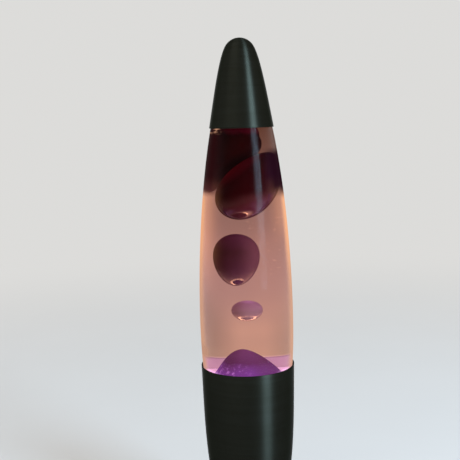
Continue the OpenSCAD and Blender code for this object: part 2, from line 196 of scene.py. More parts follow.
def spun(name: str, outline: Sequence[Point], steps: int, closed: bool = False) -> Piece:
    """Draws an outline point by point and spins it round the lamp's axis.

    Args:
        name: Name of the piece.
        outline: Radius and height of each point, in millimetres.
        steps: Number of facets round the axis.
        closed: Whether the outline's ends are joined before it is spun.

    Returns:
        The piece, closed and facing outwards.
    """
    clear()
    bpy.ops.mesh.primitive_plane_add(size=MM, location=(0, 0, 0))
    piece = named(name)
    bpy.ops.object.mode_set(mode="EDIT")
    bpy.ops.mesh.select_mode(type="VERT")
    bpy.ops.mesh.select_all(action="SELECT")
    bpy.ops.mesh.merge(type="CENTER")
    spots = [Vector((radius * MM, 0, height * MM)) for radius, height in outline]
    bpy.ops.transform.translate(value=spots[0])
    for before, after in zip(spots, spots[1:]):
        bpy.ops.mesh.extrude_vertices_move(TRANSFORM_OT_translate={"value": after - before})
    if closed:
        mesh = bmesh.from_edit_mesh(piece.data)
        for vert in mesh.verts:
            vert.select_set(len(vert.link_edges) < 2)
        bmesh.update_edit_mesh(piece.data)
        bpy.ops.mesh.edge_face_add()
    bpy.ops.mesh.select_all(action="SELECT")
    bpy.ops.mesh.spin(steps=steps, angle=FULL_TURN, center=(0, 0, 0), axis=(0, 0, 1))
    close_skin()
    return piece


def close_skin() -> None:
    """Merges doubled points in edit mode, turns the faces outwards and leaves edit mode."""
    bpy.ops.mesh.select_all(action="SELECT")
    bpy.ops.mesh.remove_doubles(threshold=2e-6)
    bpy.ops.mesh.normals_make_consistent(inside=False)
    bpy.ops.object.mode_set(mode="OBJECT")


def modify(piece: Piece, kind: str, **settings: Any) -> None:
    """Adds a modifier with its settings and applies it.

    Args:
        piece: Piece to change.
        kind: Type of the modifier.
        **settings: The modifier's own values.
    """
    pick(piece)
    modifier = piece.modifiers.new(kind.lower(), kind)
    for key, value in settings.items():
        setattr(modifier, key, value)
    bpy.ops.object.modifier_apply(modifier=modifier.name)


def draw(piece: Piece, spot: Place, move: Place, reach: float) -> None:
    """Draws a spot of a piece aside, and the surface round it with it.

    Args:
        piece: Piece to change.
        spot: The spot, in millimetres.
        move: How far it goes, in millimetres.
        reach: How far round it the surface follows, in millimetres.
    """
    pick(piece)
    bpy.ops.object.mode_set(mode="EDIT")
    mesh = bmesh.from_edit_mesh(piece.data)
    place = Vector(spot) * MM
    nearest = min(mesh.verts, key=lambda vert: (vert.co - place).length)
    for vert in mesh.verts:
        vert.select_set(vert is nearest)
    bmesh.update_edit_mesh(piece.data)
    bpy.ops.transform.translate(
        value=Vector(move) * MM, use_proportional_edit=True, proportional_edit_falloff="SMOOTH",
        proportional_size=reach * MM)
    bpy.ops.object.mode_set(mode="OBJECT")


def smooth(piece: Piece, angle: float = 40) -> None:
    """Shades a piece smooth except at edges sharper than the angle."""
    pick(piece)
    bpy.ops.object.shade_smooth_by_angle(angle=math.radians(angle))


def drill(piece: Piece, radius: float, start: Place, end: Place) -> None:
    """Cuts a round hole through a piece.

    Args:
        piece: Piece to cut.
        radius: Radius of the hole, in millimetres.
        start: One end of the cutter's axis, in millimetres.
        end: The other end.
    """
    clear()
    first, last = Vector(start) * MM, Vector(end) * MM
    bpy.ops.mesh.primitive_cylinder_add(vertices=48, radius=radius * MM, depth=(last - first).length)
    cutter = named(piece.name + "_cutter")
    cutter.rotation_euler = (last - first).to_track_quat("Z", "Y").to_euler()
    cutter.location = (first + last) / 2
    bpy.ops.object.transform_apply(location=True, rotation=True, scale=True)
    modify(piece, "BOOLEAN", object=cutter, operation="DIFFERENCE", solver="EXACT")
    bpy.data.objects.remove(cutter)


def joined(name: str, pieces: Sequence[Piece]) -> Piece:
    """Joins pieces into one.

    Args:
        name: Name of the whole.
        pieces: Pieces to join, the first of which stays.

    Returns:
        The joined piece.
    """
    pick(pieces[0])
    for piece in pieces[1:]:
        piece.select_set(True)
    bpy.ops.object.join()
    return named(name)


# Shader sums


@dataclass(frozen=True)
class Sock:
    """A node's output that takes part in sums."""

    graph: "Graph"
    out: bpy.types.NodeSocket

    def calc(self, operation: str, *values: "Value") -> "Sock":
        """Adds a Math node with these inputs, in order, and returns its output."""
        return self.graph.sock("ShaderNodeMath", dict(enumerate(values)), {"operation": operation})

    def __add__(self, other: "Value") -> "Sock":
        """This plus the other."""
        return self.calc("ADD", self, other)

    def __radd__(self, other: float) -> "Sock":
        """The other plus this."""
        return self.calc("ADD", other, self)

    def __sub__(self, other: "Value") -> "Sock":
        """This less the other."""
        return self.calc("SUBTRACT", self, other)

    def __rsub__(self, other: float) -> "Sock":
        """The other less this."""
        return self.calc("SUBTRACT", other, self)

    def __mul__(self, other: "Value") -> "Sock":
        """This times the other."""
        return self.calc("MULTIPLY", self, other)

    def __rmul__(self, other: float) -> "Sock":
        """The other times this."""
        return self.calc("MULTIPLY", other, self)

    def __truediv__(self, other: "Value") -> "Sock":
        """This over the other."""
        return self.calc("DIVIDE", self, other)

    def __pow__(self, other: "Value") -> "Sock":
        """This to the power of the other."""
        return self.calc("POWER", self, other)

    def away(self, middle: float) -> "Sock":
        """How far this is from a middle value, on either side."""
        return self.calc("ABSOLUTE", self - middle)

    def hypot(self, other: "Sock") -> "Sock":
        """The length of this and the other at right angles."""
        return (self * self + other * other) ** 0.5

    def level_mm(self, low: float, high: float) -> "Sock":
        """Runs evenly from 0 at low to 1 at high, both in millimetres."""
        return (self - low * MM) / ((high - low) * MM)

    def ease_mm(self, low: float, high: float) -> "Sock":
        """Runs smoothly from 0 at low to 1 at high, both in millimetres."""
        return self.ease(low * MM, high * MM)

    def ease(self, low: float, high: float) -> "Sock":
        """Runs smoothly from 0 at low to 1 at high, which may be the smaller one, and stays there."""
        settings = {"interpolation_type": "SMOOTHSTEP", "clamp": True}
        return self.graph.sock("ShaderNodeMapRange", {0: self, 1: low, 2: high, 3: 0.0, 4: 1.0}, settings)


Value = Union[float, Sock]
Input = Union[float, Colour, Sock]


class Graph:
    """A material or world under construction."""

    def __init__(self, owner: Union[Material, bpy.types.World], output: str) -> None:
        """Empties the owner's nodes and adds its output node.

        Args:
            owner: Material or world.
            output: Type of its output node.
        """
        owner.use_nodes = True
        self.owner = owner
        self.tree = owner.node_tree
        self.tree.nodes.clear()
        self.output = self.node(output)

    @classmethod
    def material(cls, name: str) -> "Graph":
        """Starts a new material."""
        return cls(bpy.data.materials.new(name), "ShaderNodeOutputMaterial")

    def node(
        self,
        kind: str,
        inputs: Optional[dict[Union[str, int], Input]] = None,
        settings: Optional[dict[str, Any]] = None,
    ) -> bpy.types.Node:
        """Adds a node.

        Args:
            kind: The node's type.
            inputs: Values or links of its sockets, by name or number.
            settings: Its own properties, which are set first.

        Returns:
            The node.
        """
        made = self.tree.nodes.new(kind)
        for key, value in (settings or {}).items():
            setattr(made, key, value)
        for key, value in (inputs or {}).items():
            self.plug(made.inputs[key], value)
        return made

    def plug(self, socket: bpy.types.NodeSocket, value: Input) -> None:
        """Links a value to a socket, or sets it there.

        Args:
            socket: Socket that takes the value.
            value: Link, number or colour.
        """
        if isinstance(value, Sock):
            self.tree.links.new(value.out, socket)
        elif isinstance(value, tuple) and len(value) == 3 and socket.type == "RGBA":
            socket.default_value = (*value, 1.0)
        else:
            socket.default_value = value

    def sock(
        self, kind: str, inputs: Optional[dict] = None, settings: Optional[dict] = None, out: Any = 0,
    ) -> Sock:
        """Adds a node, and returns the output with this name or number."""
        return Sock(self, self.node(kind, inputs, settings).outputs[out])

    @cached_property
    def spot(self) -> tuple[Sock, Sock, Sock, Sock]:
        """Where in the lamp's frame a point of the surface is.

        Returns:
            The place and its three parts, in metres.
        """
        place = self.sock("ShaderNodeTexCoord", out="Object")
        parts = self.node("ShaderNodeSeparateXYZ", {0: place}).outputs
        return (place, *(Sock(self, part) for part in parts))

    @cached_property
    def facing(self) -> Sock:
        """0 where the surface faces the eye, up to 1 where it is seen edge on."""
        return self.sock("ShaderNodeLayerWeight", {"Blend": 0.5}, out="Facing")

    def vector(self, x: Value, y: Value, z: Value) -> Sock:
        """A vector from its three parts."""
        return self.sock("ShaderNodeCombineXYZ", {0: x, 1: y, 2: z})

    def noise(self, vector: Sock, scale: float, detail: float = 2.0, rough: float = 0.5) -> Sock:
        """Soft noise from 0 to 1, by features to the metre, finer layers and their strength."""
        inputs = {"Vector": vector, "Scale": scale, "Detail": detail, "Roughness": rough}
        return self.sock("ShaderNodeTexNoise", inputs)

    def mix(self, factor: Value, first: Input, second: Input) -> Sock:
        """Mixes two colours by the second one's share."""
        return self.sock("ShaderNodeMix", {0: factor, 6: first, 7: second}, {"data_type": "RGBA"}, 2)

    def layers(self, colour: Input, *coats: tuple[Value, Input]) -> Input:
        """Lays colours over a first one.

        Args:
            colour: The first colour.
            *coats: Share and colour of each layer, in order.

        Returns:
            The colour.
        """
        for share, coat in coats:
            colour = self.mix(share, colour, coat)
        return colour

    def ramp(self, factor: Value, stops: Stops) -> Sock:
        """Lays colours along a value.

        Args:
            factor: The value.
            stops: Place from 0 to 1 and colour of each stop.

        Returns:
            The colour.
        """
        made = self.node("ShaderNodeValToRGB", {0: factor})
        elements = made.color_ramp.elements
        while len(elements) < len(stops):
            elements.new(1.0)
        for element, (place, colour) in zip(elements, stops):
            element.position = place
            element.color = (*colour, 1.0)
        return Sock(self, made.outputs[0])

    def bump(self, height: Sock, strength: float, distance: float) -> Sock:
        """A normal that follows a height from 0 to 1, by a share of a depth in metres."""
        inputs = {"Strength": strength, "Distance": distance, "Height": height}
        return self.sock("ShaderNodeBump", inputs)

    def surface(self, **inputs: Input) -> Sock:
        """A Principled surface; an input's words are joined by underscores."""
        sockets = {key.replace("_", " "): value for key, value in inputs.items()}
        return self.sock("ShaderNodeBsdfPrincipled", sockets)

    def ray(self, *kinds: str) -> Sock:
        """Tells rays apart.

        Args:
            *kinds: Outputs of the Light Path node.

        Returns:
            The largest of them, which is 1 for a ray of any of the kinds.
        """
        made = self.node("ShaderNodeLightPath")
        total = Sock(self, made.outputs[kinds[0]])
        for kind in kinds[1:]:
            total = total.calc("MAXIMUM", total, Sock(self, made.outputs[kind]))
        return total

    def shine(self) -> Sock:
        """Finds rays that wet wax has mirrored once; the bottle's own sharp reflections don't count.

        Returns:
            1 for such rays.
        """
        first = self.ray("Glossy Depth").ease(1.6, 1.4) * self.ray("Diffuse Depth").ease(0.6, 0.4)
        soft = 1.0 - self.ray("Is Singular Ray")
        return self.ray("Is Reflection Ray") * self.ray("Is Glossy Ray") * soft * first

    def done(self, shader: Sock) -> Any:
        """Links the shader to the output and returns the material or world."""
        self.plug(self.output.inputs["Surface"], shader)
        return self.owner


# Finishes


@dataclass(frozen=True)
class Finish:
    """A named finish, whose shader each kind builds in its own way."""

    sampling: ClassVar[str] = "AUTO"
    name: str

    def shader(self, g: Graph) -> Sock:
        """Builds the shader in a material under construction and returns it."""
        raise NotImplementedError

    def build(self) -> Material:
        """Builds the material.

        Returns:
            The material.
        """
        g = Graph.material(self.name)
        material = g.done(self.shader(g))
        material.cycles.emission_sampling = self.sampling
        return material


@dataclass(frozen=True)
class SpunMetal(Finish):
    """Spun sheet with fine lines left by the lathe, coloured far darker than its bare metal as painted shade.
    """

    name: str = "spun_metal_finish"
    # colour and rub are painted shade, far darker than the bare spun metal; foot_shade darkens it further
    # towards the bottom.
    colour: Colour = (0.0195, 0.0205, 0.0155)
    rub: Colour = (0.0255, 0.0275, 0.0225)
    edge: Colour = (0.50, 0.51, 0.50)
    rough: float = 0.43
    foot_shade: float = 0.18
    fine_lines: float = 5200.0
    broad_lines: float = 420.0
    smudges: float = 55.0

    def shader(self, g: Graph) -> Sock:
        """Builds the shader.

        Args:
            g: Material under construction.

        Returns:
            The shader.
        """
        place, x, y, z = g.spot
        turn = x.calc("ARCTAN2", y, x)
        fine = g.noise(g.vector(turn * 0.6, 0.0, z * self.fine_lines), scale=1.0)
        broad = g.noise(g.vector(turn * 0.35, 3.0, z * self.broad_lines), scale=1.0, detail=3.0)
        smudge = g.noise(place, scale=self.smudges, detail=3.0)
        lines = fine * 0.55 + broad * 0.45
        return g.surface(
            Base_Color=g.layers(
                self.colour, (lines.ease(0.35, 0.75), self.rub), (smudge.ease(0.5, 0.8) * 0.35, self.colour),
                (z.ease_mm(155, 105) * self.foot_shade, BLACK)),
            Metallic=1.0, Roughness=self.rough + (lines - 0.5) * 0.08 + smudge.ease(0.45, 0.8) * 0.05,
            Specular_Tint=self.edge, Anisotropic=0.9, Anisotropic_Rotation=0.25,
            Normal=g.bump(lines, strength=0.02, distance=0.0002),
        )


@dataclass(frozen=True)
class Zone:
    """A soft part of a surface; a span runs from none at its first number to all at its second."""

    share: float
    x: tuple[Point, ...] = ()
    z: tuple[Point, ...] = ()
    facing: Optional[Point] = None

    def mask(self, g: Graph) -> Sock:
        """How far each point of a surface is in the zone.

        Args:
            g: Material under construction.

        Returns:
            A value from 0 to the zone's share.
        """
        _, x, _, z = g.spot
        parts = [x.ease_mm(*span) for span in self.x] + [z.ease_mm(*span) for span in self.z]
        if self.facing is not None:
            parts.append(g.facing.ease(*self.facing))
        return math.prod(parts, start=self.share)

    @staticmethod
    def total(zones: Sequence["Zone"], g: Graph) -> Sock:
        """The masks of several zones of a material, added up."""
        return sum(zone.mask(g) for zone in zones)


Zones = tuple[Zone, ...]
LEFT = ((4, -4),)
RIGHT = ((-4, 4),)
LEFT_BAND = ((-4, -14), (-29, -21))
HEART_GLOW_X = ((-13, -1), (19, 7))
RIM_GLOW_FACING = (0.48, 0.82)


@dataclass(frozen=True)
class FilledGlass(Finish):
    """The blown bottle and the tinted liquid in it, seen as one clear body."""

    sampling: ClassVar[str] = "NONE"
    name: str = "filled_glass_finish"
    low_z: float = 138.0
    high_z: float = 310.0
    # Lighter low down and darker under the cap: painted light of the bulb below, fading to painted shade at
    # the top.
    bulb_lit_tints: Stops = (
        (0.0, (0.62, 0.33, 0.235)),
        (0.35, (0.52, 0.27, 0.235)),
        (0.55, (0.46, 0.22, 0.185)),
        (0.72, (0.36, 0.17, 0.14)),
        (1.0, (0.128, 0.038, 0.017)),
    )
    shade: Colour = (0.02, 0.02, 0.02)
    shades: Zones = (
        Zone(0.10, x=((-22, -12), (10, 0)), z=((214, 232), (257, 247))),
        Zone(0.17, x=LEFT_BAND, z=((190, 166), (142, 149))),
    )
    gloss: Colour = (0.03, 0.03, 0.03)
    coat: Zone = Zone(0.052, z=((205, 262),))
    # Painted glow of the liquid, brightest low down, standing in for the bulb's light scattered in it.
    haze_glows: Stops = (
        (0.0, (0.175, 0.094, 0.082)),
        (0.35, (0.105, 0.050, 0.053)),
        (0.55, (0.045, 0.030, 0.030)),
        (0.8, (0.002, 0.001, 0.001)),
        (1.0, BLACK),
    )
    # Painted brighter glow in the middle of the liquid low down.
    heart_glow: Colour = (0.42, 0.25, 0.17)
    heart_glows: Zones = (
        Zone(0.2, x=HEART_GLOW_X, z=((185, 150),)),
        Zone(0.3, x=HEART_GLOW_X, z=((185, 150), (149, 161))),
        Zone(0.12, x=((-2, 7), (22, 13)), z=((166, 178), (240, 215))),
    )
    # Painted shade that darkens the liquid's painted glow on the left and low on the right.
    glow_shades: Zones = (
        Zone(0.75, x=((6, 15),), z=((178, 150),), facing=(0.60, 0.40)),
        Zone(0.95, x=LEFT_BAND, z=((210, 160),)),
    )
    # Tiny spots in the liquid, painted as bright glints in its glow.
    speck_glint: Colour = (0.45, 0.30, 0.22)
    speck_glints: Zone = Zone(0.5, x=RIGHT, z=((190, 205), (250, 235)))
    # Yellow-brown tone laid into the liquid's painted glow on the right.
    khaki_glow: Colour = (0.095, 0.070, 0.018)
    khaki_glows: Zone = Zone(0.6, x=((8, 22),), z=((148, 160), (250, 225)))
    # rim is the colour of the painted glow along the bottle's edges, which fades out towards the top.
    rim: Colour = (0.40, 0.155, 0.055)
    rim_glows: Zones = (
        Zone(0.42, x=LEFT, facing=RIM_GLOW_FACING),
        Zone(0.58, x=LEFT, z=((185, 235),), facing=RIM_GLOW_FACING),
        Zone(1.0, x=RIGHT, z=((200, 238),), facing=RIM_GLOW_FACING),
    )
    wide_rim_glows: Zones = (
        Zone(0.58, x=LEFT, z=((185, 240),), facing=(0.10, 0.55)),
        Zone(0.42, x=RIGHT, z=((222, 250),), facing=(0.12, 0.50)),
    )
    rim_glow_end: Point = (276, 264)
    # heel is the colour of the painted glow of the bottle's heel, lit by the bulb below.
    heel: Colour = (0.70, 0.42, 0.74)
    heel_glows: Zone = Zone(1.0, z=((140.4, 137.6), (129.5, 132)))
    lit: Colour = (30.0, 19.0, 12.0)
    lit_walls: Zones = (Zone(0.85, z=((141.5, 138.5),)), Zone(0.15, z=((210, 150),)))
    # Painted glow and painted shade laid over the bottle's walls where they are seen edge on.
    low_wall_glows: tuple[Colour, ...] = ((0.62, 0.32, 0.20), (0.92, 0.42, 0.21), (0.20, 0.085, 0.055))
    high_wall_shades: tuple[Colour, ...] = ((0.034, 0.006, 0.016), (0.13, 0.062, 0.046))
    dark_wall_shades: tuple[Colour, ...] = ((0.070, 0.014, 0.022), (0.020, 0.002, 0.003))
    upper_right: Zone = Zone(1.0, x=((3, 12),), z=((256, 266),))
    upper_left: Zone = Zone(1.0, x=((-3, -10),), z=((256, 266),))
    all_edges: Zone = Zone(0.85, facing=(0.50, 0.78))
    heel_wall_glow: Colour = (0.54, 0.29, 0.20)
    heel_edge: Zone = Zone(0.8, x=LEFT, z=((158, 154), (146, 150)), facing=(0.40, 0.58))
    right_wall_shade: Colour = (0.015, 0.002, 0.007)
    right_edge: Zone = Zone(0.95, x=((3, 12),), z=((258, 268), (294.5, 288)), facing=(0.10, 0.45))
    left_edge: Zone = Zone(0.92, x=((-5, -13),), z=((260, 266),), facing=(0.08, 0.45))
    # drop is the colour of painted glints just under the cap's rim.
    drop: Colour = (0.80, 0.40, 0.24)
    cap_glints: Zone = Zone(0.75, x=((-12.5, -16.5),), z=((302.5, 305.8),))
    wall_shine: float = 0.85

    def shader(self, g: Graph) -> Sock:
        """Builds the shader.

        Args:
            g: Material under construction.

        Returns:
            The shader.
        """
        place, _, _, z = g.spot
        level = z.level_mm(self.low_z, self.high_z) + (g.noise(place, scale=24.0) - 0.5) * 0.10
        body = g.surface(
            Base_Color=g.mix(Zone.total(self.shades, g), g.ramp(level, self.bulb_lit_tints), self.shade),
            Roughness=0.0, IOR=1.36, Transmission_Weight=1.0, Specular_Tint=self.gloss,
            Coat_Weight=self.coat.mask(g), Coat_Roughness=0.16, Coat_IOR=1.5,
            Emission_Color=self.glow(g, level), Emission_Strength=1.0,
            Normal=g.bump(g.noise(place, scale=30.0, detail=1.0), strength=0.02, distance=0.001),
        )
        body = self.painted_walls(g, body)
        inputs = {0: g.ray("Is Shadow Ray"), 1: body, 2: g.sock("ShaderNodeBsdfTransparent")}
        return g.sock("ShaderNodeMixShader", inputs)

    def glow(self, g: Graph, level: Sock) -> Sock:
        """Painted glow that the liquid, the bottle's edges and its heel give off, and the painted light of
        its low walls that wet wax mirrors.

        Args:
            g: Material under construction.
            level: How far up the liquid a point is.

        Returns:
            The painted glow's colour.
        """
        place, x, y, z = g.spot
        behind = g.sock("ShaderNodeNewGeometry", out="Backfacing")
        haze_glow = g.layers(
            g.ramp(level, self.haze_glows),
            (Zone.total(self.heart_glows, g), self.heart_glow),
            (Zone.total(self.glow_shades, g), BLACK),
            (g.noise(place, scale=900.0, detail=0.0).ease(0.74, 0.80) * self.speck_glints.mask(g), self.speck_glint),
            (self.khaki_glows.mask(g), self.khaki_glow),
        )
        # Painted glow along the bottle's edges.
        rim_glows = Zone.total(self.rim_glows, g)
        rim = rim_glows.calc("MAXIMUM", rim_glows, Zone.total(self.wide_rim_glows, g)) * z.ease_mm(*self.rim_glow_end)
        front = y.ease_mm(-6, -16) * x.away(0.0).ease_mm(26, 18)
        glow = g.layers(
            g.mix(behind, BLACK, haze_glow), (rim, self.rim), (self.heel_glows.mask(g) * (1.0 - front), self.heel))
        seen = g.mix(g.ray("Is Camera Ray", "Is Transmission Ray"), BLACK, glow)
        return g.mix(g.shine() * behind * Zone.total(self.lit_walls, g), seen, self.lit)

    def painted_walls(self, g: Graph, body: Sock) -> Sock:
        """Covers a clear body with painted glow and painted shade where its wall is seen edge on, and gives
        it painted glints under the cap.

        Args:
            g: Material under construction.
            body: The clear body.

        Returns:
            The body with its painted walls.
        """
        _, x, _, z = g.spot
        low = g.layers(
            self.low_wall_glows[0],
            (z.ease_mm(180, 245), self.low_wall_glows[1]),
            (z.ease_mm(258, 275), self.low_wall_glows[2]),
            (self.upper_right.mask(g), g.mix(z.ease_mm(277, 288), *self.high_wall_shades)),
        )
        cap_glints = g.noise(g.vector(x * 0.5, 0.0, z * 1.6), scale=420.0).ease(0.46, 0.66)
        for colour, share in (
            (low, self.all_edges.mask(g) * (1.0 - self.upper_left.mask(g))),
            (self.heel_wall_glow, self.heel_edge.mask(g)),
            (self.right_wall_shade, self.right_edge.mask(g)),
            (g.mix(z.ease_mm(258, 275), *self.dark_wall_shades), self.left_edge.mask(g)),
            (self.drop, cap_glints * self.cap_glints.mask(g)),
        ):
            body = self.paint_wall(g, body, colour, share)
        return body

    def paint_wall(self, g: Graph, body: Sock, colour: Input, share: Sock) -> Sock:
        """Covers part of a clear body with a wall's painted colour, most of it given off as painted glow.

        Args:
            g: Material under construction.
            body: The clear body.
            colour: The wall's colour, painted glow where it is light and painted shade where it is dark.
            share: How much of it the camera sees.

        Returns:
            The body with its painted wall.
        """
        parts = (1.0 - self.wall_shine, self.wall_shine)
        if isinstance(colour, tuple):
            own, shone = (tuple(part * value for value in colour) for part in parts)
        else:
            own, shone = (g.mix(part, BLACK, colour) for part in parts)
        wall = g.surface(
            Base_Color=own, Roughness=1.0, Specular_IOR_Level=0.0,
            Emission_Color=shone, Emission_Strength=1.0)
        return g.sock("ShaderNodeMixShader", {0: share * g.ray("Is Camera Ray"), 1: body, 2: wall})


@dataclass(frozen=True)
class Wax(Finish):
    """Warm wax whose colour changes with height as painted shading, and which has a painted glow where the
    bulb's light comes through it.
    """

    low_z: float
    high_z: float
    # The colour ramp by height is painted shading of the light from the bulb below.
    colours: Stops
    glows: Stops
    lean: float = 0.0
    clouding: float = 0.18
    coat_ior: float = 1.25
    # Colour laid over one side of the blob as painted shading.
    side_shading: Colour = BLACK
    side_shading_x: Optional[Point] = None
    # Crimson band along the blob's upper-left edge: painted light.
    lit_edge: Colour = BLACK
    lit_edge_z: Optional[Point] = None
    lit_edge_slope: float = 0.85

    def shader(self, g: Graph) -> Sock:
        """Builds the shader.

        Args:
            g: Material under construction.

        Returns:
            The shader.
        """
        place, x, _, z = g.spot
        swirl = g.noise(place, scale=90.0, detail=3.0, rough=0.55)
        level = (z + x * self.lean).level_mm(self.low_z, self.high_z) + (swirl - 0.5) * self.clouding
        colour = g.ramp(level, self.colours)
        if self.side_shading_x is not None:
            colour = g.mix(x.ease_mm(*self.side_shading_x), colour, self.side_shading)
        if self.lit_edge_z is not None:
            colour = g.mix((z - x * self.lit_edge_slope).ease_mm(*self.lit_edge_z), colour, self.lit_edge)
        return g.surface(
            Base_Color=colour, Roughness=0.45 + swirl * 0.1, Specular_IOR_Level=0.0, IOR=1.45,
            Coat_Weight=level.ease(0.45, 0.25) * g.facing.ease(0.80, 0.55), Coat_Roughness=0.03,
            Coat_IOR=self.coat_ior, Emission_Color=g.ramp(level, self.glows), Emission_Strength=1.0,
            Normal=g.bump(g.noise(place, scale=160.0), strength=0.02, distance=0.0004),
        )


@dataclass(frozen=True)
class PoolWax(Finish):
    """The melted wax over the bulb: a violet mound with painted shading and painted glow, and a ring of pool
    round it painted bright as glow.
    """

    sampling: ClassVar[str] = "NONE"
    name: str = "pool_wax_finish"
    pool_z: float = 131.7
    top_z: float = 151.5
    mound_r: float = 17.8
    ring_r: float = 23.4
    # Painted shading and painted glow by height, brightest and bluest low down where the bulb lights the
    # mound.
    colours: Stops = (
        (0.0, (0.085, 0.026, 0.18)),
        (0.25, (0.078, 0.024, 0.14)),
        (0.6, (0.055, 0.017, 0.060)),
        (1.0, (0.072, 0.023, 0.075)),
    )
    glows: Stops = (
        (0.0, (0.205, 0.062, 0.46)),
        (0.25, (0.185, 0.055, 0.36)),
        (0.6, (0.118, 0.036, 0.130)),
        (1.0, (0.155, 0.049, 0.160)),
    )
    glint: Colour = (0.48515, 0.20508, 0.87137)
    # Colour laid over the mound's right side as painted shade on its glow.
    side_shading: Colour = (0.115, 0.036, 0.092)
    # ring is the colour of the pool round the mound, painted bright as glow where the bulb lights it.
    ring: Colour = (0.72, 0.44, 0.78)
    ring_light: Colour = (32.0, 21.0, 14.0)

    def shader(self, g: Graph) -> Sock:
        """Builds the shader.

        Args:
            g: Material under construction.

        Returns:
            The shader.
        """
        place, x, y, z = g.spot
        swirl = g.noise(place, scale=120.0, detail=3.0, rough=0.6)
        level = z.level_mm(self.pool_z, self.top_z) + (swirl - 0.5) * 0.25
        radius = x.hypot(y)
        front = y.ease_mm(-6, -14) * x.away(0.0).ease_mm(20, 14)
        pool = radius.ease_mm(self.mound_r - 0.5, self.mound_r + 1.5) * (1.0 - front)
        pool = pool * z.ease_mm(self.pool_z - 1.6, self.pool_z - 0.8)
        mirrored = radius.ease_mm(self.ring_r, self.ring_r + 2.0) * g.shine() * g.facing.ease(0.45, 0.3)
        glints = g.noise(place, scale=460.0).ease(0.53, 0.66) * level.ease(0.65, 0.2) * x.ease_mm(4, -6)
        glow = g.layers(
            g.ramp(level, self.glows), (glints, self.glint), (x.ease_mm(0, 12) * 0.7, self.side_shading),
            (pool, self.ring), (mirrored, self.ring_light))
        return g.surface(
            Base_Color=g.mix(pool, g.ramp(level, self.colours), self.ring), Roughness=0.4 + swirl * 0.1,
            Specular_IOR_Level=0.0, IOR=1.45, Emission_Color=glow, Emission_Strength=1.0,
            Normal=g.bump(swirl, strength=0.15, distance=0.001),
        )


@dataclass(frozen=True)
class BareMetal(Finish):
    """Sheet, wire or turned metal with tarnish and fine scratches."""

    colour: Colour
    tarnish: Colour
    rough: float = 0.32
    scale: float = 260.0
    scratched: float = 900.0

    def shader(self, g: Graph) -> Sock:
        """Builds the shader.

        Args:
            g: Material under construction.

        Returns:
            The shader.
        """
        place, x, y, z = g.spot
        patches = g.noise(place, scale=self.scale, detail=4.0, rough=0.6)
        turn = x.calc("ARCTAN2", y, x)
        lathe = g.vector(turn * 2.0, z * self.scratched, x.hypot(y) * self.scratched)
        scratches = g.noise(lathe, scale=1.0, detail=3.0)
        return g.surface(
            Base_Color=g.mix(patches.ease(0.42, 0.75), self.colour, self.tarnish), Metallic=1.0,
            Roughness=self.rough + (patches - 0.5) * 0.25 + (scratches - 0.5) * 0.12,
            Normal=g.bump(scratches * 0.6 + patches * 0.4, strength=0.12, distance=0.0002),
        )


@dataclass(frozen=True)
class Moulded(Finish):
    """Moulded plastic or rubber with a fine grain."""

    colour: Colour
    dust: Colour
    rough: float = 0.5
    grain: float = 2200.0
    depth: float = 0.0001

    def shader(self, g: Graph) -> Sock:
        """Builds the shader.

        Args:
            g: Material under construction.

        Returns:
            The shader.
        """
        place = g.spot[0]
        grain = g.noise(place, scale=self.grain)
        cloud = g.noise(place, scale=90.0, detail=3.0)
        return g.surface(
            Base_Color=g.mix(cloud.ease(0.45, 0.8) * 0.5, self.colour, self.dust), IOR=1.48,
            Roughness=self.rough + (grain - 0.5) * 0.18 + (cloud - 0.5) * 0.12,
            Normal=g.bump(grain, strength=0.25, distance=self.depth),
        )


@dataclass(frozen=True)
class LitGlass(Finish):
    """Frosted bulb glass, warm where the filament is near."""

    name: str = "bulb_glass_finish"
    colour: Colour = (0.93, 0.88, 0.78)
    frosted: Colour = (0.99, 0.97, 0.92)
    cool: Colour = (0.10, 0.05, 0.02)
    warm: Colour = (1.0, 0.62, 0.30)
    heart_z: float = 92.0

    def shader(self, g: Graph) -> Sock:
        """Builds the shader.

        Args:
            g: Material under construction.

        Returns:
            The shader.
        """
        place, _, _, z = g.spot
        frost = g.noise(place, scale=900.0)
        return g.surface(
            Base_Color=g.mix(frost, self.colour, self.frosted), Roughness=0.35 + frost * 0.2, IOR=1.5,
            Transmission_Weight=0.6, Emission_Strength=0.6,
            Emission_Color=g.mix(z.away(self.heart_z * MM).ease_mm(26, 0), self.cool, self.warm),
            Normal=g.bump(frost, strength=0.1, distance=0.0001),
        )


# Sub-assemblies


@dataclass(frozen=True)
class LampSizes:
    """Sizes that more than one sub-assembly uses, in millimetres."""

    overall_h: float = 368.0
    rim_z: float = 138.4
    cap_h: float = 60.8
    sheet: float = 0.7
    cap_r: float = 22.4
    cup_r: float = 33.3
    fit_gap: float = 0.3
    seat_gap: float = 0.1
    spin_steps: int = 144

    @property
    def cap_z(self) -> float:
        """Height of the cap's rim."""
        return self.overall_h - self.cap_h


def present(piece: Piece, finish: Material, body: Body, slot: Slot, *nodes: str) -> None:
    """Gives a piece its finish and its body, and hides the CAD nodes that it stands for.

    Args:
        piece: Finished mesh.
        finish: Its material.
        body: Body that it rides on.
        slot: The record's slot; not used.
        *nodes: CAD nodes that it replaces.
    """
    piece.data.materials.clear()
    piece.data.materials.append(finish)
    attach(piece, body.value)
    if nodes:
        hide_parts(*nodes)
    LOG.info("%s: %d faces, rides on %s", piece.name, len(piece.data.polygons), body.value)


